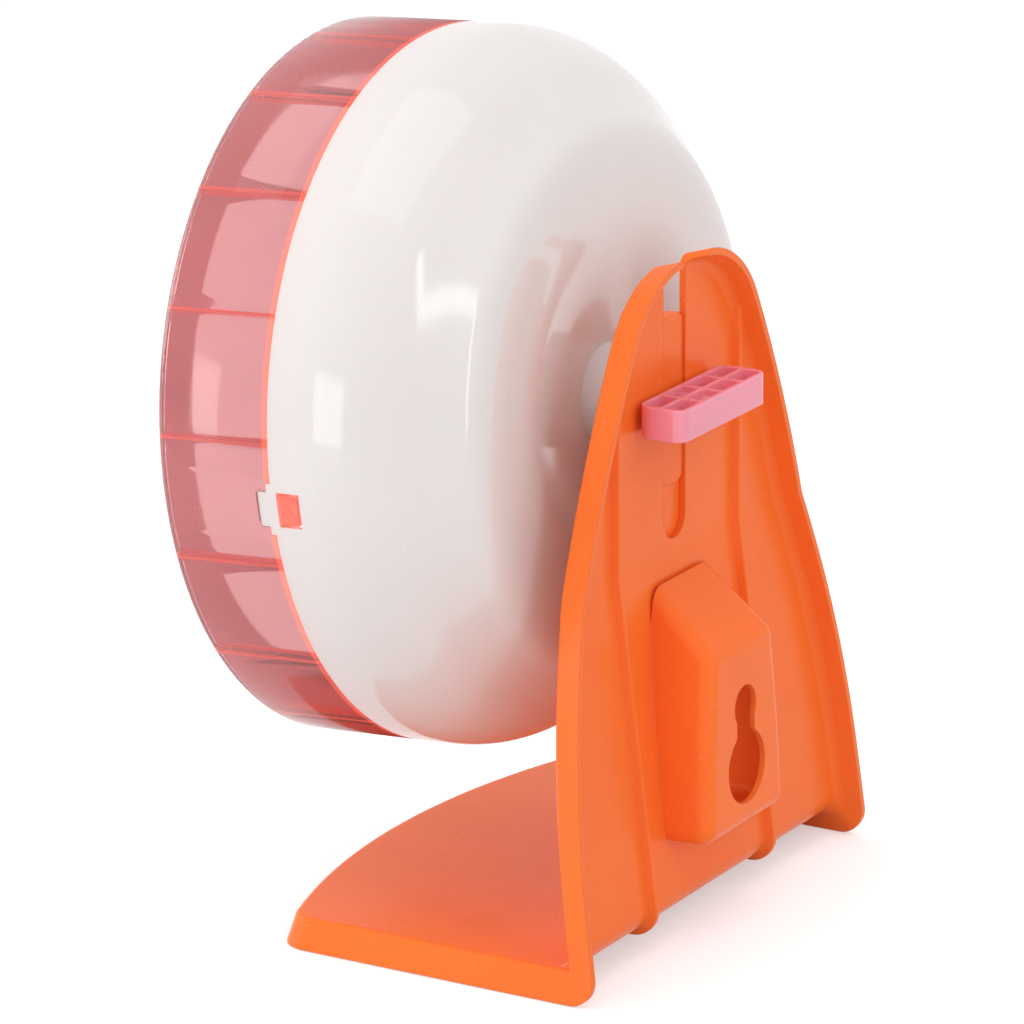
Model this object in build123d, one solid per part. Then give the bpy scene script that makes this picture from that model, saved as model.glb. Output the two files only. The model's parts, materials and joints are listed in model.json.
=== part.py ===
from build123d import *
import math
import os

# Rodent exercise wheel on a free-standing foot, millimetres.
# +Z is up, +Y is the rear, where the clamp bar is, and the drum's open front faces -Y.
# Everything is drawn with Y = 0 on the rear face of the upright wall and Z = 0 on the
# surface it stands on, and moved at the end so that the origin is under the middle.

# Drum
DRUM_DIAMETER = 277.0
RING_DEPTH = 49.0
SHELL_DEPTH = 70.0
SKIN = 2.2
AXLE_HEIGHT = 203.8
SEAM_FROM_WALL = 93.0
DROOP = 3.5

# Front ring
OPENING_RADIUS = 116.0
RING_CORNER = 3.4
RIB_COUNT = 18
RIB_FIRST_ANGLE = 3.8
RIB_HEIGHT = 3.6
RIB_THICKNESS = 1.1
SEAM_FLANGE_INSIDE = 130.6
SEAM_FLANGE_THICKNESS = 2.0
SPIGOT_LENGTH = 5.0
SPIGOT_GAP = 0.25

# Clips that hold the ring to the shell
CLIP_COUNT = 3
CLIP_TAB_REACH = 5.7
CLIP_TAB_WIDTH = 13.6
CLIP_STEP_REACH = 2.0
CLIP_STEP_WIDTH = 20.0
CLIP_WINDOW_START = 2.2
CLIP_WINDOW_END = 12.0
CLIP_WINDOW_WIDTH = 13.6
CLIP_TONGUE_WIDTH = 11.6
CLIP_TONGUE_END = 10.6
CLIP_GAP = 0.2

# Rear shell
SIDE_STRAIGHT = 14.0
DOME_POINTS = ((135.3, 31.0), (126.2, 46.0), (111.5, 59.5))
CREST_RADIUS = 86.0
DISH_START_RADIUS = 74.0
DISH_FLOOR = 64.0
BOSS_RADIUS = 20.0
BOSS_END = 76.0
HUB_FRONT = 46.0
HUB_RADIUS = 14.0
SLEEVE_RADIUS = 8.0

# Axle and hub hardware
PIN_RADIUS = 4.0
PIN_RUNNING_GAP = 0.05
WASHER_RADIUS = 9.0
WASHER_THICKNESS = 1.0
RETAINER_RADIUS = 8.5
CAP_RADIUS = 18.0
CAP_DEPTH = 8.0

# Stand
WALL = 2.6
WALL_TOP = 258.0
TOP_FLAT_HALF_WIDTH = 6.0
CROWN_RADIUS = 44.0
CROWN_TURN = 62.0
FLANK_RADIUS = 546.0
FLANK_TURN = 12.85
HIP_RADIUS = 330.0
CREASE_RADIUS = 60.0
CREASE_HEIGHT = 146.0
LOWER_SLOPE = 7.1
FLANGE_DEPTH = 12.0
FLANGE_FLARE = 16.7
FOOT_HEIGHT = 12.0
FOOT_HALF_WIDTH = 106.0
SKIRT_FLARE = 18.4
FOOT_FRONT = -125.0
FOOT_FRONT_CORNER = -106.5
FOOT_CORNER_RADIUS = 9.0
REAR_CORNER_RADIUS = 10.0
BEND_RADIUS = 5.0
EDGE_ROUND = 2.0
INSIDE_ROUND = 4.5
SLOT_HALF_WIDTH = 8.5
SLOT_BOTTOM = 149.3
SLOT_MOUTH_RADIUS = 5.5
BEAD_OFFSET = 47.0
BEAD_HEIGHT = 3.2
BEAD_HALF_WIDTH = 2.9
BEAD_CREST_HALF_WIDTH = 1.3

# Hanging box behind the upright
BOX_TOP = 138.5
BOX_SHOULDER = 112.0
BOX_SHOULDER_REAR = 30.2
BOX_BOTTOM = 38.0
BOX_REAR = 32.5
BOX_TOP_HALF_WIDTH = 21.0
BOX_MIDDLE_HALF_WIDTH = 28.2
BOX_BOTTOM_HALF_WIDTH = 31.5
BOX_EDGE_ROUND = 6.0
BOX_WALL = 2.4
BOX_DRAFT = 1.5
KEYHOLE_SMALL_RADIUS = 8.5
KEYHOLE_SMALL_HEIGHT = 87.0
KEYHOLE_LARGE_RADIUS = 14.5
KEYHOLE_LARGE_HEIGHT = 63.0
KEYHOLE_WAIST_HALF_WIDTH = 7.0

# Carriage
PLATE_HALF_HEIGHT = 33.0
PLATE_HALF_WIDTH = 17.0
PLATE_THICKNESS = 4.0
PLATE_TAIL = 58.0
PLATE_TAIL_CORNER = 5.0
WORK_SPACE = 120.0
SLIDE_GAP = 0.05
TONGUE_GAP = 0.3
TONGUE_RECESS = 1.0
TONGUE_CORNER = 5.0
STEM_RADIUS = 11.5
STEM_ROOT_RADIUS = 15.0

# Clamp bar
BAR_HALF_LENGTH = 33.6
BAR_END_BULGE = 0.8
BAR_HEIGHT = 12.4
BAR_DEPTH = 20.4
BAR_STAND_OFF = 1.6
BAR_PAD_HALF_LENGTH = 14.0
PAD_GAP = 0.05
BAR_REAR_CORNER = 5.0
BAR_WALL_CORNER = 7.0
BAR_WALL = 1.9
BAR_WEB = 1.6
BAR_FLOOR = 1.4
BAR_CELLS_LONG = 4
BAR_CELLS_DEEP = 2
BOLT_RADIUS = 2.0
BOLT_HEAD_ACROSS = 7.0
BOLT_HEAD_THICKNESS = 2.8
INSERT_RADIUS = 3.0
INSERT_LENGTH = 14.0
INSERT_BOSS_RADIUS = 4.0

RIM = DRUM_DIAMETER / 2
INNER = RIM - SKIN


def drum_place():
    droop = math.radians(DROOP)
    seam_height = AXLE_HEIGHT - SEAM_FROM_WALL * math.sin(droop)
    return Location((0, -SEAM_FROM_WALL * math.cos(droop), seam_height), (DROOP, 0, 0))


def tube(radius, start, end, bore=0.0):
    # a round piece about the drum's own axis, which is Y here
    piece = Cylinder(radius, end - start, rotation=(90, 0, 0))
    if bore:
        piece -= Cylinder(bore, 2 * (end - start), rotation=(90, 0, 0))
    return Pos(0, (start + end) / 2, 0) * piece


def around(angle):
    # turns a shape drawn on the +X side to its place round the drum
    return Rot(0, -angle, 0)


def clip_angles():
    first = RIB_FIRST_ANGLE - 180 / RIB_COUNT
    return [first + 360 * k / CLIP_COUNT for k in range(CLIP_COUNT)]


def arc_block(inside, outside, start, end, width):
    # a short stretch of the drum's wall on its +X side, with straight sides
    ring = tube(outside, start, end, inside)
    window = Pos(outside, (start + end) / 2, 0) * Box(outside, end - start, width)
    return ring & window


def ring_profile():
    front = -RING_DEPTH
    with BuildSketch() as sketch:
        with BuildLine():
            Polyline(
                (RIM, 0),
                (RIM, front),
                (OPENING_RADIUS, front),
                (OPENING_RADIUS, front + SKIN),
                (INNER, front + SKIN),
                (INNER, -SEAM_FLANGE_THICKNESS),
                (SEAM_FLANGE_INSIDE, -SEAM_FLANGE_THICKNESS),
                (SEAM_FLANGE_INSIDE, 0),
                (INNER - SPIGOT_GAP - SKIN, 0),
                (INNER - SPIGOT_GAP - SKIN, SPIGOT_LENGTH),
                (INNER - SPIGOT_GAP, SPIGOT_LENGTH),
                (INNER - SPIGOT_GAP, 0),
                (RIM, 0),
            )
        make_face()
        corners = sketch.vertices()
        fillet(corners.sort_by_distance((RIM, front))[0], RING_CORNER)
        fillet(sketch.vertices().sort_by_distance((INNER, front + SKIN))[0], RING_CORNER - SKIN + 0.4)
        lip = sketch.vertices().filter_by_position(Axis.X, OPENING_RADIUS - 0.1, OPENING_RADIUS + 0.1)
        fillet(lip, SKIN * 0.45)
    return sketch.sketch


def make_running_ring():
    ring = revolve(ring_profile(), Axis.Y)
    rib_start = -RING_DEPTH + SKIN / 2
    rib_end = -SEAM_FLANGE_THICKNESS / 2
    rib_length = rib_end - rib_start
    rib = Box(RIB_HEIGHT + SKIN / 2, rib_length, RIB_THICKNESS)
    rib = Pos(INNER - RIB_HEIGHT / 2 + SKIN / 4, (rib_start + rib_end) / 2, 0) * rib
    ribs = [around(RIB_FIRST_ANGLE + 360 * k / RIB_COUNT) * rib for k in range(RIB_COUNT)]
    ring = ring + ribs
    recess, tongue = ring_clip_shapes()
    for angle in clip_angles():
        ring = ring - around(angle) * recess
        ring = ring + around(angle) * tongue
    return ring


def ring_clip_shapes():
    # the recess that a shell tab lies in, and the tongue that reaches the shell's window
    spigot = INNER - SPIGOT_GAP
    tab_width = CLIP_TAB_WIDTH + 2 * CLIP_GAP
    step_width = CLIP_STEP_WIDTH + 2 * CLIP_GAP
    recess = arc_block(spigot + 0.05, RIM + 1, -CLIP_TAB_REACH - CLIP_GAP, 1, tab_width)
    recess += arc_block(spigot + 0.05, RIM + 1, -CLIP_STEP_REACH - CLIP_GAP, 1, step_width)
    leaf = arc_block(spigot - SKIN - 0.3, spigot - 0.05, -CLIP_TAB_REACH - 2, CLIP_TONGUE_END, CLIP_TONGUE_WIDTH)
    button_start = CLIP_WINDOW_START + CLIP_GAP
    button = arc_block(spigot - SKIN / 2, RIM - 0.2, button_start, CLIP_TONGUE_END, CLIP_TONGUE_WIDTH)
    return recess, leaf + button


def dome_curve(inset):
    # the curve from the drum's side to the crest, moved inwards by the skin for the inner face
    centre = Vector(CREST_RADIUS - 20, 0)
    points = [Vector(RIM - inset, SIDE_STRAIGHT)]
    for radius, depth in DOME_POINTS:
        point = Vector(radius, depth)
        points.append(point - (point - centre).normalized() * inset)
    points.append(Vector(CREST_RADIUS, SHELL_DEPTH - inset))
    return Spline(*points, tangents=[(0, 1), (-1, 0)])


def shell_profile():
    inside_floor = DISH_FLOOR - SKIN
    dish_end = BOSS_RADIUS + 10
    with BuildSketch() as sketch:
        with BuildLine():
            Polyline((INNER, SIDE_STRAIGHT), (INNER, 0), (RIM, 0), (RIM, SIDE_STRAIGHT))
            dome_curve(0)
            Line((CREST_RADIUS, SHELL_DEPTH), (DISH_START_RADIUS, SHELL_DEPTH))
            Spline(
                (DISH_START_RADIUS, SHELL_DEPTH),
                (dish_end, DISH_FLOOR),
                tangents=[(-1, 0), (-1, 0)],
            )
            Polyline(
                (dish_end, DISH_FLOOR),
                (BOSS_RADIUS, DISH_FLOOR),
                (BOSS_RADIUS - 0.6, BOSS_END),
                (SLEEVE_RADIUS, BOSS_END),
                (SLEEVE_RADIUS, HUB_FRONT),
                (HUB_RADIUS, HUB_FRONT),
                (HUB_RADIUS + 1, inside_floor),
                (dish_end, inside_floor),
            )
            Spline(
                (dish_end, inside_floor),
                (DISH_START_RADIUS, SHELL_DEPTH - SKIN),
                tangents=[(1, 0), (1, 0)],
            )
            Line((DISH_START_RADIUS, SHELL_DEPTH - SKIN), (CREST_RADIUS, SHELL_DEPTH - SKIN))
            dome_curve(SKIN)
        make_face()
        corners = sketch.vertices()
        boss_edge = corners.sort_by_distance((BOSS_RADIUS - 0.6, BOSS_END))[0]
        boss_root = corners.sort_by_distance((BOSS_RADIUS, DISH_FLOOR))[0]
        hub_root = corners.sort_by_distance((HUB_RADIUS + 1, inside_floor))[0]
        fillet(boss_edge, 1.5)
        fillet(boss_root, 2.5)
        fillet(hub_root, 3.0)
    return sketch.sketch


def make_rear_shell():
    shell = revolve(shell_profile(), Axis.Y)
    tab = arc_block(INNER, RIM, -CLIP_TAB_REACH, 0.5, CLIP_TAB_WIDTH)
    step = arc_block(INNER, RIM, -CLIP_STEP_REACH, 0.5, CLIP_STEP_WIDTH)
    window = arc_block(INNER - 1, RIM + 1, CLIP_WINDOW_START, CLIP_WINDOW_END, CLIP_WINDOW_WIDTH)
    for angle in clip_angles():
        place = around(angle)
        shell = shell + place * tab + place * step
        shell = shell - place * window
    return shell


def make_hub_sleeve():
    return tube(SLEEVE_RADIUS, HUB_FRONT, BOSS_END, PIN_RADIUS + PIN_RUNNING_GAP)


def make_hub_cap():
    # a shallow cup that covers the pin's end inside the drum and grips the hub
    front = HUB_FRONT - CAP_DEPTH
    skirt_end = HUB_FRONT + 5
    skirt_bore = HUB_RADIUS + 0.4
    with BuildSketch() as sketch:
        with BuildLine():
            Polyline(
                (0, front),
                (CAP_RADIUS - 3, front),
                (CAP_RADIUS, front + 3.5),
                (CAP_RADIUS, skirt_end),
                (skirt_bore, skirt_end),
                (skirt_bore, HUB_FRONT),
                (CAP_RADIUS - 6, HUB_FRONT),
                (CAP_RADIUS - 6, front + 1.8),
                (0, front + 1.8),
                (0, front),
            )
        make_face()
        fillet(sketch.vertices().sort_by_distance((CAP_RADIUS - 3, front))[0], 3.0)
        fillet(sketch.vertices().sort_by_distance((CAP_RADIUS, front + 3.5))[0], 2.0)
    return revolve(sketch.sketch, Axis.Y)


def make_axle_pin():
    start = HUB_FRONT - 4.5
    end = BOSS_END + 9.0
    pin = tube(PIN_RADIUS, start, end)
    return chamfer(pin.edges().filter_by(GeomType.CIRCLE), 0.6)


def make_front_washer():
    end = HUB_FRONT - 0.1
    return tube(WASHER_RADIUS, end - WASHER_THICKNESS, end, PIN_RADIUS + 0.15)


def make_rear_washer():
    start = BOSS_END + 0.1
    return tube(WASHER_RADIUS, start, start + WASHER_THICKNESS, PIN_RADIUS + 0.15)


def make_axle_retainer():
    # push-on spring washer: a flat rim and a coned middle cut by six teeth
    end = HUB_FRONT - 0.1 - WASHER_THICKNESS - 0.05
    with BuildSketch() as sketch:
        with BuildLine():
            Polyline(
                (PIN_RADIUS, end - 1.9),
                (PIN_RADIUS + 2.2, end - 0.6),
                (RETAINER_RADIUS, end - 0.6),
                (RETAINER_RADIUS, end),
                (PIN_RADIUS + 2.0, end),
                (PIN_RADIUS, end - 1.2),
                (PIN_RADIUS, end - 1.9),
            )
        make_face()
    retainer = revolve(sketch.sketch, Axis.Y)
    cut = Pos(PIN_RADIUS + 0.9, end - 1, 0) * Box(1.9, 3, 0.8)
    for k in range(6):
        retainer -= around(60 * k) * cut
    return retainer


def stem_face_distance():
    # distance along the drum's axis from the seam to the plate's front face
    plate_front = -WALL - SLIDE_GAP - PLATE_THICKNESS
    return SEAM_FROM_WALL + plate_front / math.cos(math.radians(DROOP))


def make_carriage():
    start = BOSS_END + 0.1 + WASHER_THICKNESS + 0.1
    root = stem_face_distance()
    stem = tube(STEM_RADIUS, start, root + 2)
    cone = Pos(0, root - 3, 0) * Cone(STEM_ROOT_RADIUS, STEM_RADIUS, 8, rotation=(90, 0, 0))
    stem = drum_place() * (stem + cone)
    with BuildSketch(Plane.XZ) as outline:
        Rectangle(2 * PLATE_HALF_WIDTH, 2 * PLATE_HALF_HEIGHT)
        Circle(PLATE_HALF_HEIGHT, mode=Mode.INTERSECT)
        with Locations((0, -PLATE_TAIL / 2)):
            Rectangle(2 * PLATE_HALF_WIDTH, PLATE_TAIL)
        fillet(outline.vertices().sort_by(Axis.Y)[:2], PLATE_TAIL_CORNER)
    back = -WALL - SLIDE_GAP
    plate = extrude(outline.sketch, PLATE_THICKNESS)
    plate = Pos(0, back, AXLE_HEIGHT) * plate
    keep_front = Pos(0, back - WORK_SPACE / 2, AXLE_HEIGHT) * Box(WORK_SPACE, WORK_SPACE, WORK_SPACE)
    body = plate + (stem & keep_front)
    with BuildSketch(Plane.XZ) as key:
        RectangleRounded(2 * (SLOT_HALF_WIDTH - TONGUE_GAP), 2 * PLATE_HALF_HEIGHT, TONGUE_CORNER)
    tongue = extrude(key.sketch, WALL - TONGUE_RECESS + SLIDE_GAP + 0.5)
    body += Pos(0, -TONGUE_RECESS, AXLE_HEIGHT) * tongue
    body -= drum_place() * tube(PIN_RADIUS, start - 1, BOSS_END + 9.0)
    body -= clamp_bolt_solid(0.0)
    return body


def clamp_bolt_solid(tip_chamfer):
    head_back = -WALL - SLIDE_GAP - 0.6
    shank_end = BAR_STAND_OFF + INSERT_LENGTH + 1.4
    shank_length = shank_end - head_back
    with BuildSketch(Plane.XZ) as hexagon:
        RegularPolygon(BOLT_HEAD_ACROSS / 2, 6, major_radius=False)
    head = Pos(0, head_back, AXLE_HEIGHT) * extrude(hexagon.sketch, BOLT_HEAD_THICKNESS)
    shank = Cylinder(BOLT_RADIUS, shank_length, rotation=(90, 0, 0))
    if tip_chamfer:
        tip = shank.edges().filter_by(GeomType.CIRCLE).sort_by(Axis.Y)[-1]
        shank = chamfer(tip, tip_chamfer)
    return head + Pos(0, head_back + shank_length / 2, AXLE_HEIGHT) * shank


def make_clamp_bolt():
    return clamp_bolt_solid(0.5)


def make_clamp_insert():
    insert = Cylinder(INSERT_RADIUS, INSERT_LENGTH, rotation=(90, 0, 0))
    insert = chamfer(insert.edges().filter_by(GeomType.CIRCLE), 0.4)
    insert -= Cylinder(BOLT_RADIUS + 0.02, 2 * INSERT_LENGTH, rotation=(90, 0, 0))
    return Pos(0, BAR_STAND_OFF + INSERT_LENGTH / 2, AXLE_HEIGHT) * insert


def bar_outline():
    near = BAR_STAND_OFF
    far = BAR_STAND_OFF + BAR_DEPTH
    middle = (near + far) / 2
    end = BAR_HALF_LENGTH - BAR_END_BULGE
    with BuildSketch() as plan:
        with BuildLine():
            Line((-end, near), (end, near))
            ThreePointArc((end, near), (BAR_HALF_LENGTH, middle), (end, far))
            Line((end, far), (-end, far))
            ThreePointArc((-end, far), (-BAR_HALF_LENGTH, middle), (-end, near))
        make_face()
        ends = plan.vertices().group_by(Axis.Y)
        fillet(ends[0], BAR_WALL_CORNER)
        fillet(plan.vertices().filter_by_position(Axis.Y, far - 0.1, far + 0.1), BAR_REAR_CORNER)
    return plan.sketch


def bar_cells():
    # tapered pockets in the top and bottom faces, in a grid with thin webs between
    length = 2 * (BAR_HALF_LENGTH - BAR_WALL - BAR_END_BULGE) - (BAR_CELLS_LONG - 1) * BAR_WEB
    length /= BAR_CELLS_LONG
    width = (BAR_DEPTH - 2 * BAR_WALL - (BAR_CELLS_DEEP - 1) * BAR_WEB) / BAR_CELLS_DEEP
    depth = (BAR_HEIGHT - BAR_FLOOR) / 2
    cells = []
    for i in range(BAR_CELLS_LONG):
        x = (i - (BAR_CELLS_LONG - 1) / 2) * (length + BAR_WEB)
        for j in range(BAR_CELLS_DEEP):
            y = BAR_STAND_OFF + BAR_DEPTH / 2 + (j - (BAR_CELLS_DEEP - 1) / 2) * (width + BAR_WEB)
            shape = RectangleRounded(length, width, 1.5)
            upper = extrude(shape, -depth, taper=3)
            lower = extrude(shape, depth, taper=3)
            cells.append(Pos(x, y, BAR_HEIGHT / 2) * upper)
            cells.append(Pos(x, y, -BAR_HEIGHT / 2) * lower)
    return cells


def make_clamp_bar():
    bar = extrude(bar_outline(), BAR_HEIGHT / 2, both=True)
    bar = fillet(bar.edges().group_by(Axis.Z)[0] + bar.edges().group_by(Axis.Z)[-1], 0.5)
    bar = bar - bar_cells()
    boss_length = INSERT_LENGTH + 3.5
    boss = Cylinder(INSERT_BOSS_RADIUS, boss_length, rotation=(90, 0, 0))
    boss = Pos(0, BAR_STAND_OFF + boss_length / 2, 0) * boss
    pad_depth = BAR_STAND_OFF + 1.0 - PAD_GAP
    pad = Box(2 * BAR_PAD_HALF_LENGTH, pad_depth, 2 * INSERT_BOSS_RADIUS)
    pad = Pos(0, PAD_GAP + pad_depth / 2, 0) * pad
    bar = bar + boss + pad
    bore_end = BAR_STAND_OFF + INSERT_LENGTH
    bar -= Pos(0, bore_end / 2, 0) * Cylinder(INSERT_RADIUS, bore_end, rotation=(90, 0, 0))
    bar -= Pos(0, bore_end, 0) * Cylinder(BOLT_RADIUS + 0.4, 5, rotation=(90, 0, 0))
    return Pos(0, 0, AXLE_HEIGHT) * bar


def slope_shift(height):
    # how far rearwards the sloped lower wall stands at a height
    return max(0.0, CREASE_HEIGHT - height) * math.tan(math.radians(LOWER_SLOPE))


def upright_outline(inset):
    # the upright seen from behind, at the wall's front face
    with BuildSketch(Plane.XZ) as outline:
        with BuildLine() as half:
            start = Line((0, WALL_TOP), (TOP_FLAT_HALF_WIDTH, WALL_TOP))
            crown = JernArc(start @ 1, start % 1, CROWN_RADIUS, -CROWN_TURN)
            flank = JernArc(crown @ 1, crown % 1, FLANK_RADIUS, -FLANK_TURN)
            hip = JernArc(flank @ 1, flank % 1, HIP_RADIUS, CROWN_TURN + FLANK_TURN - 90)
            side = Line(hip @ 1, (hip @ 1) - Vector(0, 60))
            Line(side @ 1, (0, (side @ 1).Y))
            mirror(half.line, Plane.YZ)
        make_face()
        if inset:
            offset(amount=-inset, kind=Kind.INTERSECTION)
    return outline.sketch


def upright_block(face, rear, inset, rounding):
    # a bent slab from one face of the wall rearwards, as wide as the flared outline
    floor = -20.0
    with BuildSketch(Plane.YZ) as sketch:
        with BuildLine():
            front = FilletPolyline(
                (face, WALL_TOP + 30),
                (face, CREASE_HEIGHT),
                (face + slope_shift(floor), floor),
                radius=CREASE_RADIUS,
            )
            Polyline(
                front @ 1,
                (rear + slope_shift(floor), floor),
                (rear, CREASE_HEIGHT),
                (rear, WALL_TOP + 30),
                front @ 0,
            )
        make_face()
    flared = extrude(upright_outline(inset), -60, taper=-FLANGE_FLARE)
    block = extrude(sketch.sketch, 200, both=True) & (Pos(0, -WALL, 0) * flared)
    front_faces = [face for face in block.faces() if face.normal_at().Y < -0.9]
    edges = [edge for face in front_faces for edge in face.edges() if edge.center().Z > floor + 1]
    rim = [edge for edge in edges if sum(edge.is_same(other) for other in edges) == 1]
    return fillet(rim, rounding)


def foot_block(top, inset, rounding):
    # a slab up to the foot's top face, widening downwards with the skirt's flare
    lift = 6.0
    rear = 60.0
    narrowing = lift * math.tan(math.radians(SKIRT_FLARE))
    with BuildSketch(Plane.XY.offset(FOOT_HEIGHT + lift)) as plan:
        with BuildLine():
            Polyline(
                (FOOT_HALF_WIDTH, FOOT_FRONT_CORNER),
                (FOOT_HALF_WIDTH, rear),
                (-FOOT_HALF_WIDTH, rear),
                (-FOOT_HALF_WIDTH, FOOT_FRONT_CORNER),
            )
            ThreePointArc(
                (-FOOT_HALF_WIDTH, FOOT_FRONT_CORNER),
                (0, FOOT_FRONT),
                (FOOT_HALF_WIDTH, FOOT_FRONT_CORNER),
            )
        make_face()
        fillet(plan.vertices().group_by(Axis.Y)[0], FOOT_CORNER_RADIUS)
        offset(amount=-inset - narrowing, kind=Kind.INTERSECTION)
    block = extrude(plan.sketch, -lift - FOOT_HEIGHT - 20, taper=-SKIRT_FLARE)
    block = block & (Pos(0, 0, top - 50) * Box(500, 500, 100))
    rim = [edge for edge in block.edges().group_by(Axis.Z)[-1] if edge.center().Y < rear - 1]
    return fillet(rim, rounding)


def rear_limit():
    # the flange's open rim, rounded where it turns to the ground
    rear = FLANGE_DEPTH - WALL
    heel = (rear + slope_shift(0), 0)
    with BuildSketch(Plane.YZ) as sketch:
        with BuildLine():
            Polyline((-400, 0), heel, (rear, CREASE_HEIGHT), (rear, 400), (-400, 400), (-400, 0))
        make_face()
        fillet(sketch.vertices().sort_by_distance((0, *heel))[0], REAR_CORNER_RADIUS)
    return extrude(sketch.sketch, 200, both=True)


def bend_filler():
    # the rounded inside corner between the upright's front and the foot's top
    corner = Vector(-WALL + slope_shift(FOOT_HEIGHT), FOOT_HEIGHT)
    reach = 12.0
    slope = math.radians(LOWER_SLOPE)
    up = corner + Vector(-math.sin(slope), math.cos(slope)) * reach
    with BuildSketch(Plane.YZ) as sketch:
        with BuildLine():
            bend = FilletPolyline(up, corner, corner - Vector(reach, 0), radius=BEND_RADIUS)
            Polyline(bend @ 1, corner - Vector(reach, 1), corner + Vector(1, -1), up + Vector(1, 0), up)
        make_face()
    return extrude(sketch.sketch, FOOT_HALF_WIDTH - EDGE_ROUND, both=True)


def make_sheet():
    inset = WALL / math.cos(math.radians(FLANGE_FLARE))
    outer = upright_block(-WALL, FLANGE_DEPTH, 0, EDGE_ROUND)
    outer += foot_block(FOOT_HEIGHT, 0, EDGE_ROUND)
    outer &= rear_limit()
    outer += bend_filler()
    inner = upright_block(0, 60, inset, INSIDE_ROUND) + foot_block(FOOT_HEIGHT - WALL, inset, INSIDE_ROUND)
    bend = [
        edge
        for edge in inner.edges().filter_by(Axis.X)
        if edge.length > 100 and 0 < edge.center().Y < 30 and edge.center().Z > 0
    ]
    inner = fillet(bend, BEND_RADIUS + WALL)
    return outer - inner, outer


def bead(side):
    # a raised rib down the wall's rear face, round the bend and a little way under the foot
    foot_face = FOOT_HEIGHT - WALL
    path_points = [
        (side * BEAD_OFFSET, 0, WALL_TOP - 12),
        (side * BEAD_OFFSET, 0, CREASE_HEIGHT),
        (side * BEAD_OFFSET, slope_shift(foot_face), foot_face),
        (side * BEAD_OFFSET, slope_shift(foot_face) - 18, foot_face),
    ]
    path = FilletPolyline(*path_points, radius=BEND_RADIUS + WALL)
    root = -0.8
    with BuildSketch(Plane(path_points[0], x_dir=(-1, 0, 0), z_dir=(0, 0, -1))) as section:
        with BuildLine():
            Polyline(
                (-BEAD_HALF_WIDTH, root),
                (-BEAD_HALF_WIDTH, 0),
                (-BEAD_CREST_HALF_WIDTH, BEAD_HEIGHT),
                (BEAD_CREST_HALF_WIDTH, BEAD_HEIGHT),
                (BEAD_HALF_WIDTH, 0),
                (BEAD_HALF_WIDTH, root),
                (-BEAD_HALF_WIDTH, root),
            )
        make_face()
        crest = section.vertices().group_by(Axis.Y)[-1]
        fillet(crest, BEAD_CREST_HALF_WIDTH * 0.6)
    return sweep(section.sketch, path)


def box_block(inset, front, rounding):
    # the hanging box, from a plane inside the wall to its rear face
    slope = (BOX_TOP - BOX_SHOULDER) / BOX_SHOULDER_REAR
    top = BOX_TOP - inset * math.sqrt(1 + slope * slope)
    shoulder = BOX_SHOULDER_REAR - inset
    low = BOX_BOTTOM + inset
    with BuildSketch(Plane.YZ) as sketch:
        with BuildLine():
            Polyline(
                (front, top - slope * front),
                (shoulder, top - slope * shoulder),
                (BOX_REAR - inset, low),
                (front, low),
                (front, top - slope * front),
            )
        make_face()
    profile = extrude(sketch.sketch, 60, both=True)
    widths = (BOX_BOTTOM_HALF_WIDTH - inset, BOX_MIDDLE_HALF_WIDTH - inset, BOX_TOP_HALF_WIDTH - inset)
    heights = (low, (BOX_BOTTOM + BOX_TOP) / 2 + 4, BOX_TOP)
    with BuildSketch(Plane.XZ.offset(-front)) as rear_view:
        with BuildLine():
            right = ThreePointArc(*zip(widths, heights))
            left = ThreePointArc(*zip([-width for width in widths], heights))
            Line(right @ 0, left @ 0)
            Line(right @ 1, left @ 1)
        make_face()
        fillet(rear_view.vertices().group_by(Axis.Y)[0], rounding)
    block = profile & extrude(rear_view.sketch, -60, taper=BOX_DRAFT)
    return fillet([edge for edge in block.edges() if edge.center().Y > front + 1], rounding)


def keyhole_cutter():
    waist = (KEYHOLE_SMALL_HEIGHT + KEYHOLE_LARGE_HEIGHT) / 2
    with BuildSketch(Plane.XZ) as sketch:
        with Locations((0, KEYHOLE_SMALL_HEIGHT)):
            Circle(KEYHOLE_SMALL_RADIUS)
        with Locations((0, KEYHOLE_LARGE_HEIGHT)):
            Circle(KEYHOLE_LARGE_RADIUS)
        with Locations((0, waist)):
            Rectangle(2 * KEYHOLE_WAIST_HALF_WIDTH, KEYHOLE_SMALL_HEIGHT - KEYHOLE_LARGE_HEIGHT)
        notches = sketch.vertices().filter_by_position(Axis.Y, 70, 86)
        fillet([v for v in notches if abs(v.X) > KEYHOLE_WAIST_HALF_WIDTH - 0.5], 2.5)
    return Pos(0, BOX_SHOULDER_REAR - 6, 0) * extrude(sketch.sketch, -20)


def slot_cutter():
    base = SLOT_BOTTOM + SLOT_HALF_WIDTH
    with BuildSketch(Plane.XZ) as sketch:
        with Locations((0, base)):
            Circle(SLOT_HALF_WIDTH)
        with Locations((0, base + 70)):
            Rectangle(2 * SLOT_HALF_WIDTH, 140)
    return extrude(sketch.sketch, 40, both=True)


def slot_mouth_cutter():
    # rounds off the slot's two top corners along the flared top of the flange
    corner = SLOT_HALF_WIDTH + SLOT_MOUTH_RADIUS
    with BuildSketch(Plane.XZ) as sketch:
        with Locations((0, 20 - SLOT_MOUTH_RADIUS)):
            Rectangle(2 * corner, 40)
        with Locations((corner, -SLOT_MOUTH_RADIUS), (-corner, -SLOT_MOUTH_RADIUS)):
            Circle(SLOT_MOUTH_RADIUS, mode=Mode.SUBTRACT)
    cutter = extrude(sketch.sketch, 40, both=True)
    return Pos(0, -WALL, WALL_TOP) * Rot(FLANGE_FLARE, 0, 0) * cutter


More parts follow.
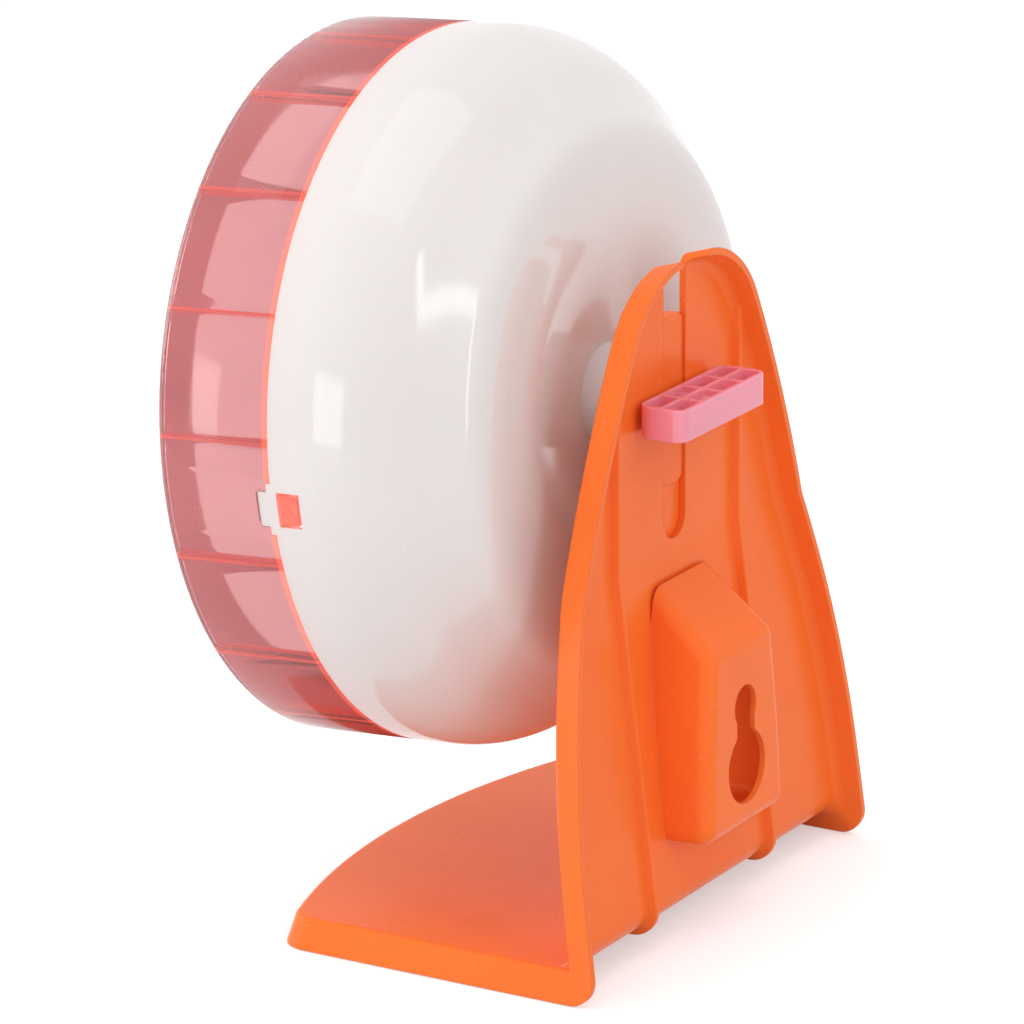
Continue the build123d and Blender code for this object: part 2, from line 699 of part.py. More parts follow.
def make_stand():
    sheet, outer = make_sheet()
    beads = (bead(-1) + bead(1)) & outer
    box = box_block(0, 3, BOX_EDGE_ROUND)
    pocket = box_block(BOX_WALL, -8, BOX_EDGE_ROUND - BOX_WALL)
    stand = sheet + beads + box
    return stand - pocket - keyhole_cutter() - slot_cutter() - slot_mouth_cutter()


def main():
    in_drum_frame = {
        "running_ring": make_running_ring,
        "rear_shell": make_rear_shell,
        "hub_sleeve": make_hub_sleeve,
        "hub_cap": make_hub_cap,
        "axle_pin": make_axle_pin,
        "front_washer": make_front_washer,
        "rear_washer": make_rear_washer,
        "axle_retainer": make_axle_retainer,
    }
    in_stand_frame = {
        "stand": make_stand,
        "carriage": make_carriage,
        "clamp_bolt": make_clamp_bolt,
        "clamp_insert": make_clamp_insert,
        "clamp_bar": make_clamp_bar,
    }
    pieces = {name: drum_place() * make() for name, make in in_drum_frame.items()}
    pieces.update({name: make() for name, make in in_stand_frame.items()})
    boxes = [piece.bounding_box() for piece in pieces.values()]
    middle_y = (min(box.min.Y for box in boxes) + max(box.max.Y for box in boxes)) / 2
    os.makedirs("parts", exist_ok=True)
    for name, piece in pieces.items():
        export_step(Pos(0, -middle_y, 0) * piece, f"parts/{name}.step")


main()
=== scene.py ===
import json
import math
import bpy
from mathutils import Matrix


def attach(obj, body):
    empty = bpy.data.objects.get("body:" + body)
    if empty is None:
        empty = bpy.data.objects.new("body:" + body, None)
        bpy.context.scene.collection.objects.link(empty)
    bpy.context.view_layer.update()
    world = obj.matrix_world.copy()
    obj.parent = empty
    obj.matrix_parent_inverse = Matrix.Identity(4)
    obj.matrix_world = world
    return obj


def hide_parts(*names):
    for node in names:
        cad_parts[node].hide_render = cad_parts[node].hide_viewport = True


bl_info = {
    "name": "Rodent exercise wheel",
    "version": (1, 0, 0),
    "blender": (4, 5, 0),
    "location": "3D View > Sidebar > Wheel",
    "description": "Finishes, running ribs and studio for an exercise wheel on a slotted stand",
    "category": "Object",
}

import bmesh
import bpy
from mathutils import Matrix, Vector

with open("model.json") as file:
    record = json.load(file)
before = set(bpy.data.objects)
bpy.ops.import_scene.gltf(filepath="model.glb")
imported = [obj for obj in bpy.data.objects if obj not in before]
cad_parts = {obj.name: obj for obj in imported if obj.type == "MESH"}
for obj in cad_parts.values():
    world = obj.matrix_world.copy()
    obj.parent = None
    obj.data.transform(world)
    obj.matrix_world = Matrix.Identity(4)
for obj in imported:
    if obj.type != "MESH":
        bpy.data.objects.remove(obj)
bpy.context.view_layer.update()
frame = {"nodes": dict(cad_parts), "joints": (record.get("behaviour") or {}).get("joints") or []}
MM = 0.001

# The drum turns about this line. Ring and shell meet round a point on it, in front of the wall.
WALL_REAR_Y = 58.85 * MM
SEAM_TO_WALL = 92.83 * MM
SEAM_HEIGHT = 198.12 * MM
SEAM_CENTRE = Vector((0.0, WALL_REAR_Y - SEAM_TO_WALL, SEAM_HEIGHT))
SPIN_AXIS = Vector(next(joint["axis"] for joint in frame["joints"] if joint["name"] == "drum_spin"))

# The ring in the drum's own frame: the band's inner face and the run of its ribs
SKIN = 2.2 * MM
DRUM_RADIUS = 138.5 * MM
BAND_INSIDE = DRUM_RADIUS - SKIN
RING_DEPTH = 49.0 * MM
RIBS_FROM = SKIN / 2 - RING_DEPTH
RIBS_TO = -1.0 * MM
# The ribs' own surfaces lie this deep inside the band, and clear of it by a hair
RIB_ZONE = 4.2 * MM
RIB_ROOT_CLEARANCE = 0.1 * MM
# The rounding of a rib's edges, as a share of its thickness
EDGE_SHARE = 0.35
# The painted glow on the band starts this far in front of the seam
SEAM_EDGE = 2.4 * MM
GLOW_SOFTNESS = 0.3 * MM


# The view: the lens for a 36 mm sensor, where it stands, and its own right and backward directions
CAMERA_LENS = 210.94
CAMERA_PLACE = (1.9038, 1.1124, 0.8201)
CAMERA_RIGHT = (-0.5069, 0.8620, -0.0068)
CAMERA_BACK = (0.8238, 0.4868, 0.2904)

# The floor's size and how far it lies under the feet, so that the two don't share a plane
FLOOR_RADIUS = 9.0
FLOOR_DROP = 0.0004

# Small round marks that the mould leaves on the foot's side: centre, radius, depth
STAND_MARKS = (
    ((107.1 * MM, 35.0 * MM, 8.8 * MM), 0.9 * MM, 0.00012),
    ((107.8 * MM, 55.3 * MM, 6.6 * MM), 0.5 * MM, 0.0001),
)


def tint(red, green, blue):
    """A display colour from 0 to 255 as the linear colour that shaders take."""
    channels = []
    for value in (red, green, blue):
        level = value / 255
        if level <= 0.04045:
            channels.append(level / 12.92)
        else:
            channels.append(((level + 0.055) / 1.055) ** 2.4)
    return tuple(channels) + (1.0,)


def colour_setting(name, description, default):
    return bpy.props.FloatVectorProperty(
        name=name,
        description=description,
        default=default,
        subtype="COLOR",
        size=4,
        min=0.0,
        max=1.0,
    )


def length_setting(name, description, default):
    return bpy.props.FloatProperty(
        name=name,
        description=description,
        default=default,
        min=0.0,
        subtype="DISTANCE",
        unit="LENGTH",
        precision=5,
    )


def strength_setting(name, description, default):
    return bpy.props.FloatProperty(name=name, description=description, default=default, min=0.0)


class RibSettings(bpy.types.PropertyGroup):
    """The ribs that give an animal its foothold inside the ring."""

    count: bpy.props.IntProperty(name="Count", description="Ribs round the ring", default=18, min=1)
    first_angle: bpy.props.FloatProperty(
        name="First angle",
        description="Where the first rib stands, up from the drum's right side",
        default=math.radians(3.8),
        subtype="ANGLE",
        unit="ROTATION",
    )
    height: length_setting("Height", "How far a rib stands in from the band", 3.6 * MM)
    thickness: length_setting("Thickness", "A rib's thickness", 1.15 * MM)


class PlasticSettings(bpy.types.PropertyGroup):
    """The colours of the mouldings and of the metal parts."""

    orange: colour_setting("Orange", "Stand and carriage", tint(255, 118, 48))
    ring_pink: colour_setting("Ring pink", "The translucent running ring", tint(226, 156, 158))
    # painted glow: this colour goes on the ribs and on the band by the seam, as colour and emission, in
    # place of light carried through the plastic
    painted_glow_coral: colour_setting("Rung coral", "The ring's ribs, clips and edges", tint(255, 132, 112))
    bar_pink: colour_setting("Bar pink", "The clamp bar", tint(244, 150, 166))
    shell_white: colour_setting("Shell white", "Rear shell and hub cap", tint(224, 219, 217))
    steel: colour_setting("Steel", "Pin, bolt and washers", tint(196, 196, 198))
    brass: colour_setting("Brass", "The clamp bar's insert", tint(206, 170, 98))
    bearing: colour_setting("Bearing", "The hub's sleeve", tint(226, 222, 206))


class StudioSettings(bpy.types.PropertyGroup):
    """The light round the object."""

    ambient: strength_setting("Ambient", "Light from all round", 0.88)
    side_glow: strength_setting("Side softbox", "Brightness of the softbox on the left", 3.0)
    rear_glow: strength_setting("Rear softbox", "Brightness of the softbox beside the camera", 5.0)
    top_glow: strength_setting("Top softbox", "Brightness of the softbox overhead", 0.9)
    front_glow: strength_setting("Front softbox", "Brightness of the low softbox in front", 3.4)
    floor_lift: strength_setting("Floor lift", "Light that the camera alone sees on the floor", 0.46)


class Wire:
    """A node's output that takes part in Python arithmetic."""

    def __init__(self, nodes, node, output=0):
        self.nodes = nodes
        self.node = node
        self.socket = node.outputs[output]

    def out(self, name):
        """Another output of the same node."""
        return Wire(self.nodes, self.node, name)

    def worked(self, operation, first, second):
        return self.nodes.add("ShaderNodeMath", {"operation": operation}, {0: first, 1: second})

    def __add__(self, other):
        return self.worked("ADD", self, other)

    def __radd__(self, other):
        return self.worked("ADD", other, self)

    def __sub__(self, other):
        return self.worked("SUBTRACT", self, other)

    def __rsub__(self, other):
        return self.worked("SUBTRACT", other, self)

    def __mul__(self, other):
        return self.worked("MULTIPLY", self, other)

    def __rmul__(self, other):
        return self.worked("MULTIPLY", other, self)

    def __truediv__(self, other):
        return self.worked("DIVIDE", self, other)


class Nodes:
    """Builds one node tree, for a finish or for a modifier."""

    def __init__(self, tree):
        self.tree = tree
        tree.nodes.clear()

    def add(self, kind, settings=None, sockets=None, output=0):
        """One node: its settings first, then the values or wires of its sockets."""
        node = self.tree.nodes.new(kind)
        for name, value in (settings or {}).items():
            setattr(node, name, value)
        for name, value in (sockets or {}).items():
            if isinstance(value, Wire):
                self.tree.links.new(value.socket, node.inputs[name])
            else:
                node.inputs[name].default_value = value
        if not node.outputs:
            return None
        return Wire(self, node, output)

    def between(self, value, low, high):
        """0 at low, 1 at high and smooth between them."""
        sockets = {"Value": value, "From Min": low, "From Max": high}
        return self.add("ShaderNodeMapRange", {"interpolation_type": "SMOOTHSTEP"}, sockets)

    def noise(self, place, scale, detail=2.0, roughness=0.5):
        sockets = {"Vector": place, "Scale": scale, "Detail": detail, "Roughness": roughness}
        return self.add("ShaderNodeTexNoise", {}, sockets)

    def colours(self, share, first, second):
        """The first colour turning into the second as share goes from 0 to 1."""
        return self.add("ShaderNodeMix", {"data_type": "RGBA"}, {0: share, 6: first, 7: second}, output=2)

    def vectors(self, operation, first, second, output="Value"):
        """A sum on two vectors: a number, or with output "Vector" a vector."""
        return self.add("ShaderNodeVectorMath", {"operation": operation}, {0: first, 1: second}, output)

    def stretched(self, place, turn, scale):
        return self.add("ShaderNodeMapping", {}, {"Vector": place, "Rotation": turn, "Scale": scale})

    def bump(self, height, distance, normal=None):
        sockets = {"Height": height, "Strength": 1.0, "Distance": distance}
        if normal is not None:
            sockets["Normal"] = normal
        return self.add("ShaderNodeBump", {}, sockets)

    def spot(self, place, centre, radius, edge):
        """1 inside a round mark, falling to 0 over its edge."""
        apart = self.vectors("DISTANCE", place, centre)
        return 1.0 - self.between(apart, radius, radius + edge)

    def surface(self, **sockets):
        """The shader itself and the material's output."""
        named = {name.replace("_", " "): value for name, value in sockets.items()}
        shader = self.add("ShaderNodeBsdfPrincipled", {}, named)
        self.add("ShaderNodeOutputMaterial", {}, {"Surface": shader})


def new_finish(name):
    material = bpy.data.materials.new(name)
    material.use_nodes = True
    nodes = Nodes(material.node_tree)
    place = nodes.add("ShaderNodeTexCoord", output="Object")
    return material, nodes, place


def shade(level, colour):
    """The colour made lighter or darker."""
    return tuple(min(channel * level, 1.0) for channel in tuple(colour)[:3]) + (1.0,)


def scuffs(nodes, place):
    """Sparse hair-thin scratches in two directions, gathered in patches."""
    patch = nodes.between(nodes.noise(place, 21.0, 3.0), 0.52, 0.68)
    lines = []
    for turn in ((0.3, 0.2, 0.5), (0.9, -0.7, -0.4)):
        along = nodes.stretched(place, turn, (28.0, 1150.0, 1150.0))
        lines.append(nodes.between(nodes.noise(along, 1.0, 1.0), 0.69, 0.74))
    return (lines[0] + lines[1]) * patch


def rounded_edges(nodes, radius):
    """The normal with small rounds at the corners, and how near a corner is, from 0 to 1."""
    bevel = nodes.add("ShaderNodeBevel", {"samples": 5}, {"Radius": radius})
    normal = nodes.add("ShaderNodeNewGeometry", output="Normal")
    facing = nodes.vectors("DOT_PRODUCT", bevel, normal)
    return bevel, nodes.between(1.0 - facing, 0.01, 0.2)


def moulded_plastic(name, colour, painted_edge_highlight, shine, edge_radius, uneven=1.0, marks=(), **constants):
    """Glossy moulded plastic: cloudy pigment, drawn flow lines, a faint wobble, dust and scuffs.
    Corners within edge_radius are rounded and mixed toward a painted highlight colour, and marks are
    round prints of the mould."""
    material, nodes, place = new_finish(name)
    cloud = nodes.noise(place, 14.0, 3.0, 0.55)
    drawn = nodes.stretched(place, (0.0, 0.12, 0.0), (60.0, 60.0, 9.0))
    flow = nodes.noise(drawn, 1.0, 3.0, 0.6)
    grain = nodes.noise(place, 1500.0)
    wobble = nodes.noise(place, 46.0, 2.0, 0.45)
    worn = scuffs(nodes, place)
    specks = nodes.between(nodes.noise(place, 640.0, 1.0), 0.735, 0.775)
    dust = specks * nodes.between(cloud, 0.45, 0.6)
    darker = shade(1 - 0.045 * uneven, colour)
    lighter = shade(1 + 0.03 * uneven, colour)
    base = nodes.colours(nodes.between(cloud, 0.3, 0.7), darker, lighter)
    base = nodes.colours(nodes.between(flow, 0.52, 0.75) * (0.35 * uneven), base, shade(1.08, colour))
    base = nodes.colours(dust * 0.14, base, tint(236, 232, 228))
    rough = shine + (cloud - 0.5) * (0.07 * uneven) + (grain - 0.5) * 0.05
    rough = rough + worn * 0.22 + dust * 0.3
    normal = None
    if edge_radius:
        normal, edge = rounded_edges(nodes, edge_radius)
        # painted highlight: rounded corners are mixed toward a lighter colour
        base = nodes.colours(edge * 0.2, base, painted_edge_highlight)
        rough = rough + edge * 0.06
    for centre, radius, depth in marks:
        mark = nodes.spot(place, centre, radius, radius * 0.5)
        base = nodes.colours(mark * 0.2, base, shade(0.7, colour))
        normal = nodes.bump(mark, depth, normal)
    normal = nodes.bump(wobble, 0.00008 * uneven, normal)
    normal = nodes.bump(grain, 0.0000035, normal)
    normal = nodes.bump(worn, -0.000012, normal)
    nodes.surface(Base_Color=base, Roughness=rough, Normal=normal, IOR=1.5, **constants)
    return material


def orange_plastic(name, marks=()):
    colour = bpy.context.scene.wheel_plastics.orange
    # the lighter orange is a painted edge highlight
    painted_edge_highlight = tint(255, 186, 138)
    return moulded_plastic(name, colour, painted_edge_highlight, 0.26, 0.7 * MM, marks=marks, Specular_IOR_Level=0.13)


def bar_plastic():
    colour = bpy.context.scene.wheel_plastics.bar_pink
    constants = {
        "Subsurface_Weight": 0.25,
        "Subsurface_Radius": (1.0, 0.45, 0.5),
        "Subsurface_Scale": 0.004,
    }
    # the lighter pink passed second is a painted edge highlight
    return moulded_plastic("bar_pink_finish", colour, tint(250, 205, 212), 0.2, 0.5 * MM, **constants)


def white_plastic(name):
    colour = bpy.context.scene.wheel_plastics.shell_white
    constants = {
        "Subsurface_Weight": 0.3,
        "Subsurface_Radius": (1.0, 0.85, 0.8),
        "Subsurface_Scale": 0.006,
    }
    return moulded_plastic(name, colour, shade(1.1, colour), 0.1, 0.0, 0.3, **constants)


def ring_plastic(name, clear, painted_glow_from):
    """See-through pink with a painted glow at its edges, in colour and emission, which starts at
    painted_glow_from along the axle.
    """
    plastics = bpy.context.scene.wheel_plastics
    pink = plastics.ring_pink
    coral = plastics.painted_glow_coral
    material, nodes, place = new_finish(name)
    from_seam = nodes.vectors("SUBTRACT", place, SEAM_CENTRE, "Vector")
    along = nodes.vectors("DOT_PRODUCT", from_seam, SPIN_AXIS)
    edge = nodes.between(along, painted_glow_from - GLOW_SOFTNESS, painted_glow_from + GLOW_SOFTNESS)
    cloud = nodes.noise(place, 17.0, 3.0, 0.55)
    wobble = nodes.noise(place, 40.0, 2.0, 0.45)
    grain = nodes.noise(place, 1300.0)
    worn = scuffs(nodes, place)
    base = nodes.colours(nodes.between(cloud, 0.3, 0.7), shade(0.96, pink), shade(1.03, pink))
    # painted glow: the edge mask mixes in the glow colour here and as emission below
    base = nodes.colours(edge, base, tuple(coral))
    normal = nodes.bump(wobble, 0.00005)
    normal = nodes.bump(grain, 0.000002, normal)
    normal = nodes.bump(worn, -0.00001, normal)
    nodes.surface(
        Base_Color=base,
        Roughness=0.11 + (cloud - 0.5) * 0.04 + worn * 0.2,
        Normal=normal,
        IOR=1.46,
        Transmission_Weight=clear,
        Emission_Color=nodes.colours(edge, (0.0, 0.0, 0.0, 1.0), tuple(coral)),
        Emission_Strength=0.3,
    )
    return material


def turned_metal(name, colour, shine):
    """Bright metal with fine rings from the lathe, tarnish clouds and fine scratches."""
    material, nodes, place = new_finish(name)
    tarnish = nodes.noise(place, 160.0, 4.0, 0.6)
    along_axle = nodes.stretched(place, (0.0, 0.0, 0.0), (300.0, 5200.0, 300.0))
    rings = nodes.noise(along_axle, 1.0)
    worn = scuffs(nodes, place)
    base = nodes.colours(nodes.between(tarnish, 0.4, 0.75), tuple(colour), shade(0.72, colour))
    normal = nodes.bump(worn, -0.00001, nodes.bump(rings, 0.000012))
    rough = shine + (tarnish - 0.5) * 0.2 + worn * 0.15
    nodes.surface(Base_Color=base, Roughness=rough, Metallic=1.0, Normal=normal)
    return material


def dress(name, material):
    """Gives a part of the frame its finish."""
    part = frame["nodes"][name]
    for slot in part.material_slots:
        slot.material = material
    if not part.material_slots:
        part.data.materials.append(material)


def drum_place():
    """The drum's own frame: the seam's centre, with +Y to the rear along its axle."""
    side = Vector((1.0, 0.0, 0.0))
    back = SPIN_AXIS.normalized()
    turn = Matrix((side, back, side.cross(back))).transposed()
    return Matrix.Translation(SEAM_CENTRE) @ turn.to_4x4()


def new_piece(name, mesh, body, slot, *nodes):
    """A finished mesh as a piece that rides on a body and stands for parts of the frame."""
    piece = bpy.data.objects.new(name, mesh)
    bpy.context.scene.collection.objects.link(piece)
    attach(piece, body)
    if nodes:
        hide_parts(*nodes)
    return piece


def smooth_by_angle(mesh, angle):
    mesh.shade_smooth()
    mesh.set_sharp_from_angle(angle=math.radians(angle))


def bare_band(material):
    """The ring with its ribs taken off and the wall closed behind them."""
    bm = bmesh.new()
    bm.from_mesh(frame["nodes"]["running_ring"].data)
    bmesh.ops.remove_doubles(bm, verts=bm.verts, dist=0.002 * MM)
    inward = drum_place().inverted()
    ribs = []
    for face in bm.faces:
        local = inward @ face.calc_center_median()
        radius = math.hypot(local.x, local.z)
        corners = [inward @ vertex.co for vertex in face.verts]
        deepest = min(math.hypot(corner.x, corner.z) for corner in corners)
        reaches_in = deepest < BAND_INSIDE - RIB_ZONE / 2
        inside = BAND_INSIDE - RIB_ZONE < radius < BAND_INSIDE - RIB_ROOT_CLEARANCE
        if reaches_in and inside and RIBS_FROM + SKIN < local.y < RIBS_TO - SKIN:
            ribs.append(face)
    if not ribs:
        raise RuntimeError("the ring has no ribs where the settings put them")
    bmesh.ops.delete(bm, geom=ribs, context="FACES")
    open_edges = [edge for edge in bm.edges if edge.is_boundary]
    filled = bmesh.ops.holes_fill(bm, edges=open_edges, sides=0)
    bmesh.ops.triangulate(bm, faces=filled["faces"])
    mesh = bpy.data.meshes.new("running_band")
    bm.to_mesh(mesh)
    bm.free()
    smooth_by_angle(mesh, 25)
    mesh.materials.clear()
    mesh.materials.append(material)
    return mesh


def rib_tree():
    """Ribs: one fin with rounded edges, set round the drum's axle as instances."""
    tree = bpy.data.node_groups.new("running_ribs", "GeometryNodeTree")
    sides = tree.interface
    sides.new_socket("Geometry", in_out="INPUT", socket_type="NodeSocketGeometry")
    sides.new_socket("Count", in_out="INPUT", socket_type="NodeSocketInt")
    for name in ("First Angle", "Height", "Thickness", "Root", "Band Radius", "From", "To"):
        sides.new_socket(name, in_out="INPUT", socket_type="NodeSocketFloat")
    sides.new_socket("Place", in_out="INPUT", socket_type="NodeSocketVector")
    sides.new_socket("Tilt", in_out="INPUT", socket_type="NodeSocketVector")
    sides.new_socket("Finish", in_out="INPUT", socket_type="NodeSocketMaterial")
    sides.new_socket("Geometry", in_out="OUTPUT", socket_type="NodeSocketGeometry")
    nodes = Nodes(tree)
    given = nodes.add("NodeGroupInput")
    depth = given.out("Height") + given.out("Root")
    middle = given.out("Band Radius") - given.out("Height") + depth * 0.5
    start = nodes.add("ShaderNodeCombineXYZ", {}, {"X": middle, "Y": given.out("From")})
    end = nodes.add("ShaderNodeCombineXYZ", {}, {"X": middle, "Y": given.out("To")})
    run = nodes.add("GeometryNodeCurvePrimitiveLine", {}, {"Start": start, "End": end})
    section = nodes.add(
        "GeometryNodeCurvePrimitiveQuadrilateral",
        {},
        {"Width": depth, "Height": given.out("Thickness")},
    )
    rounded = nodes.add(
        "GeometryNodeFilletCurve",
        {"mode": "POLY"},
        {
            "Curve": section,
            "Count": 4,
            "Radius": given.out("Thickness") * EDGE_SHARE,
            "Limit Radius": True,
        },
    )
    fin = nodes.add(
        "GeometryNodeCurveToMesh",
        {},
        {"Curve": run, "Profile Curve": rounded, "Fill Caps": True},
    )
    points = nodes.add("GeometryNodePoints", {}, {"Count": given.out("Count")})
    number = nodes.add("GeometryNodeInputIndex")
    share = number / given.out("Count")
    angle = 0.0 - (given.out("First Angle") + share * (2 * math.pi))
    turn = nodes.add("ShaderNodeCombineXYZ", {}, {"Y": angle})
    ring = nodes.add(
        "GeometryNodeInstanceOnPoints",
        {},
        {"Points": points, "Instance": fin, "Rotation": turn},
    )
    real = nodes.add("GeometryNodeRealizeInstances", {}, {"Geometry": ring})
    placed = nodes.add(
        "GeometryNodeTransform",
        {},
        {"Geometry": real, "Translation": given.out("Place"), "Rotation": given.out("Tilt")},
    )
    finish = {"Geometry": placed, "Material": given.out("Finish")}
    done = nodes.add("GeometryNodeSetMaterial", {}, finish)
    nodes.add("NodeGroupOutput", {}, {"Geometry": done})
    return tree


def rib_mesh(material):
    """The ribs as one plain mesh in the frame."""
    ribs = bpy.context.scene.wheel_ribs
    host = bpy.data.objects.new("rib_host", bpy.data.meshes.new("rib_host"))
    bpy.context.scene.collection.objects.link(host)
    modifier = host.modifiers.new("Ribs", "NODES")
    modifier.node_group = rib_tree()
    values = {
        "Count": ribs.count,
        "First Angle": ribs.first_angle,
        "Height": ribs.height,
        "Thickness": ribs.thickness,
        "Root": SKIN / 2,
        "Band Radius": BAND_INSIDE,
        "From": RIBS_FROM,
        "To": RIBS_TO,
        "Place": SEAM_CENTRE,
        "Tilt": drum_place().to_euler(),
        "Finish": material,
    }
    for item in modifier.node_group.interface.items_tree:
        if item.in_out == "INPUT" and item.name in values:
            modifier[item.identifier] = values[item.name]
    bpy.context.view_layer.update()
    seen = host.evaluated_get(bpy.context.evaluated_depsgraph_get())
    mesh = bpy.data.meshes.new_from_object(seen)
    bpy.data.objects.remove(host)
    smooth_by_angle(mesh, 40)
    return mesh


class WHEEL_OT_studio(bpy.types.Operator):
    """Set the camera, the white floor and the softboxes"""

    bl_idname = "wheel.studio"
    bl_label = "Studio"

    def execute(self, context):
        studio = context.scene.wheel_studio
        add_camera(context.scene)
        add_floor(studio.floor_lift)
        add_surroundings(context.scene, studio.ambient)
        for name, place, aim, size, glow in (
            ("side_softbox", (1.75, -0.15, 0.34), (0.0, 0.0, 0.2), (0.8, 0.62), studio.side_glow),
            ("rear_softbox", (0.62, 1.5, 0.75), (0.0, 0.0, 0.2), (0.12, 1.4), studio.rear_glow),
            ("front_softbox", (0.55, -1.5, 0.5), (0.0, 0.0, 0.08), (1.1, 0.7), studio.front_glow),
            ("top_softbox", (0.1, 0.0, 1.7), (0.0, 0.0, 0.1), (1.3, 1.3), studio.top_glow),
        ):
            add_softbox(name, place, aim, size, glow)
        context.scene.view_settings.view_transform = "Standard"
        return {"FINISHED"}


def add_camera(scene):
    """The photograph's view: a long lens behind and to the right of the stand."""
    lens = bpy.data.cameras.new("camera")
    lens.sensor_width = 36.0
    lens.lens = CAMERA_LENS
    lens.clip_start = 0.05
    lens.clip_end = 50.0
    camera = bpy.data.objects.new("camera", lens)
    right = Vector(CAMERA_RIGHT).normalized()
    back = Vector(CAMERA_BACK).normalized()
    up = back.cross(right).normalized()
    turn = Matrix((up.cross(back), up, back)).transposed()
    camera.matrix_world = Matrix.Translation(CAMERA_PLACE) @ turn.to_4x4()
    scene.collection.objects.link(camera)
    scene.camera = camera


def seen_directly(nodes):
    """1 for the rays that show a thing itself, in a mirror or through glass, and 0 for its light."""
    path = nodes.add("ShaderNodeLightPath")
    rays = path.out("Is Camera Ray") + path.out("Is Glossy Ray") + path.out("Is Transmission Ray")
    return nodes.add("ShaderNodeClamp", {}, {"Value": rays})


def add_floor(lift):
    """A white table top that keeps the object's soft shadow."""
    bm = bmesh.new()
    bmesh.ops.create_circle(bm, cap_ends=True, segments=96, radius=FLOOR_RADIUS)
    bmesh.ops.translate(bm, verts=bm.verts, vec=(0.0, 0.0, -FLOOR_DROP))
    mesh = bpy.data.meshes.new("floor")
    bm.to_mesh(mesh)
    bm.free()
    material = bpy.data.materials.new("floor_paper")
    material.use_nodes = True
    nodes = Nodes(material.node_tree)
    paper = nodes.add("ShaderNodeBsdfDiffuse", {}, {"Color": tint(216, 216, 217)})
    glow = nodes.add("ShaderNodeEmission", {}, {"Strength": seen_directly(nodes) * lift})
    both = nodes.add("ShaderNodeAddShader", {}, {0: paper, 1: glow})
    nodes.add("ShaderNodeOutputMaterial", {}, {"Surface": both})
    mesh.materials.append(material)
    floor = bpy.data.objects.new("floor", mesh)
    bpy.context.scene.collection.objects.link(floor)


def add_surroundings(scene, ambient):
    """Even light from all round, seen as plain white."""
    world = bpy.data.worlds.new("surroundings")
    world.use_nodes = True
    nodes = Nodes(world.node_tree)
    strength = ambient + seen_directly(nodes) * (1.0 - ambient)
    sky = nodes.add("ShaderNodeBackground", {}, {"Color": (1.0, 1.0, 1.0, 1.0), "Strength": strength})
    nodes.add("ShaderNodeOutputWorld", {}, {"Surface": sky})
    scene.world = world


def add_softbox(name, place, aim, size, glow):
    """A rectangular lamp of an even brightness, whatever its size."""
    lamp = bpy.data.lights.new(name, "AREA")
    lamp.shape = "RECTANGLE"
    lamp.size, lamp.size_y = size
    lamp.energy = glow * math.pi * size[0] * size[1]
    holder = bpy.data.objects.new(name, lamp)
    towards = Vector(aim) - Vector(place)
    turn = towards.to_track_quat("-Z", "Y").to_matrix().to_4x4()
    holder.matrix_world = Matrix.Translation(place) @ turn
    bpy.context.scene.collection.objects.link(holder)


class WHEEL_OT_running_ring(bpy.types.Operator):
    """Make the translucent running ring and its ribs"""

    bl_idname = "wheel.running_ring"
    bl_label = "Running ring"

    def execute(self, context):
        band = bare_band(ring_plastic("ring_pink_finish", 0.78, -SEAM_EDGE))
        # the ribs carry the painted glow all over
        ribs = rib_mesh(ring_plastic("rib_painted_glow_finish", 0.2, -2 * RING_DEPTH))
        new_piece("running_band", band, "drum", "ring_pink", "running_ring")
        new_piece("running_ribs", ribs, "drum", "ring_pink", "running_ring")
        return {"FINISHED"}


class WHEEL_OT_rear_shell(bpy.types.Operator):
    """Finish the white shell and the cap on its hub"""

    bl_idname = "wheel.rear_shell"
    bl_label = "Rear shell and hub cap"

    def execute(self, context):
        dress("rear_shell", white_plastic("shell_white_finish"))
        dress("hub_cap", white_plastic("cap_white_finish"))
        return {"FINISHED"}


class WHEEL_OT_stand(bpy.types.Operator):
    """Finish the orange stand, with its moulding marks"""

    bl_idname = "wheel.stand"
    bl_label = "Stand"

    def execute(self, context):
        dress("stand", orange_plastic("stand_orange_finish", STAND_MARKS))
        return {"FINISHED"}


class WHEEL_OT_carriage(bpy.types.Operator):
    """Finish the carriage that slides in the slot"""

    bl_idname = "wheel.carriage"
    bl_label = "Carriage"

    def execute(self, context):
        dress("carriage", orange_plastic("carriage_orange_finish"))
        return {"FINISHED"}


class WHEEL_OT_clamp_bar(bpy.types.Operator):
    """Finish the pink clamp bar and its threaded insert"""

    bl_idname = "wheel.clamp_bar"
    bl_label = "Clamp bar"

    def execute(self, context):
        plastics = context.scene.wheel_plastics
        dress("clamp_bar", bar_plastic())
        dress("clamp_insert", turned_metal("brass_finish", plastics.brass, 0.28))
        return {"FINISHED"}


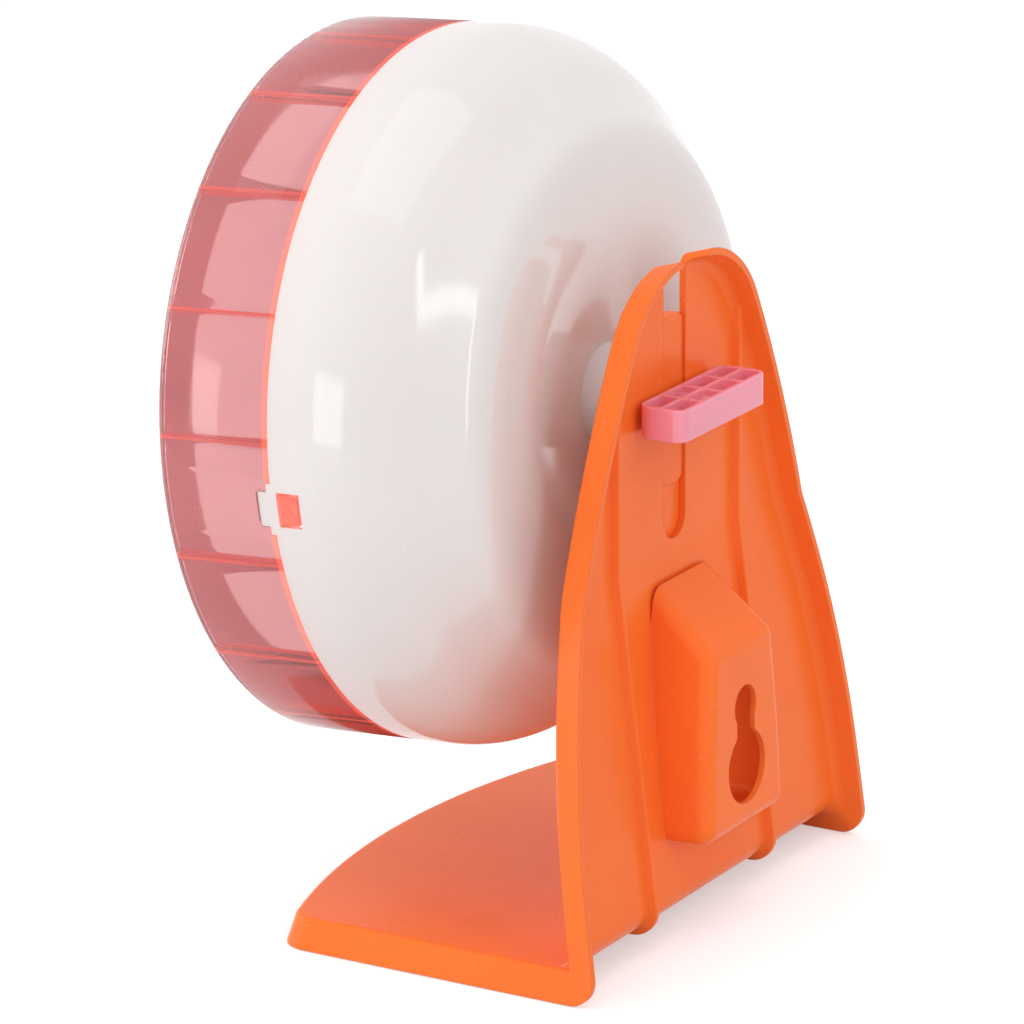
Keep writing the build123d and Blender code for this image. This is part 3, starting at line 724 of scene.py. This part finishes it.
class WHEEL_OT_axle(bpy.types.Operator):
    """Finish the pin, bolt, washers, retainer and bearing sleeve"""

    bl_idname = "wheel.axle"
    bl_label = "Axle parts"

    def execute(self, context):
        plastics = context.scene.wheel_plastics
        steel = turned_metal("steel_finish", plastics.steel, 0.25)
        for name in ("axle_pin", "clamp_bolt", "rear_washer", "front_washer"):
            dress(name, steel)
        dress("axle_retainer", turned_metal("spring_steel_finish", shade(0.6, plastics.steel), 0.34))
        bearing = moulded_plastic("bearing_finish", plastics.bearing, tint(250, 248, 240), 0.34, 0.0)
        dress("hub_sleeve", bearing)
        return {"FINISHED"}


STEPS = (
    WHEEL_OT_studio,
    WHEEL_OT_stand,
    WHEEL_OT_carriage,
    WHEEL_OT_running_ring,
    WHEEL_OT_rear_shell,
    WHEEL_OT_clamp_bar,
    WHEEL_OT_axle,
)


class WHEEL_PT_panel(bpy.types.Panel):
    """The wheel's pieces, sizes and colours"""

    bl_label = "Exercise wheel"
    bl_idname = "WHEEL_PT_panel"
    bl_space_type = "VIEW_3D"
    bl_region_type = "UI"
    bl_category = "Wheel"

    def draw(self, context):
        for step in STEPS:
            self.layout.operator(step.bl_idname)
        scene = context.scene
        for settings in (scene.wheel_ribs, scene.wheel_plastics, scene.wheel_studio):
            box = self.layout.box()
            for name in settings.bl_rna.properties.keys():
                if name not in ("rna_type", "name"):
                    box.prop(settings, name)


CLASSES = (RibSettings, PlasticSettings, StudioSettings) + STEPS + (WHEEL_PT_panel,)


def register():
    for item in CLASSES:
        bpy.utils.register_class(item)
    bpy.types.Scene.wheel_ribs = bpy.props.PointerProperty(type=RibSettings)
    bpy.types.Scene.wheel_plastics = bpy.props.PointerProperty(type=PlasticSettings)
    bpy.types.Scene.wheel_studio = bpy.props.PointerProperty(type=StudioSettings)


def unregister():
    del bpy.types.Scene.wheel_studio
    del bpy.types.Scene.wheel_plastics
    del bpy.types.Scene.wheel_ribs
    for item in reversed(CLASSES):
        bpy.utils.unregister_class(item)


def main():
    register()
    bpy.ops.wheel.studio()
    bpy.ops.wheel.stand()
    bpy.ops.wheel.carriage()
    bpy.ops.wheel.running_ring()
    bpy.ops.wheel.rear_shell()
    bpy.ops.wheel.clamp_bar()
    bpy.ops.wheel.axle()


if __name__ == "__main__":
    main()
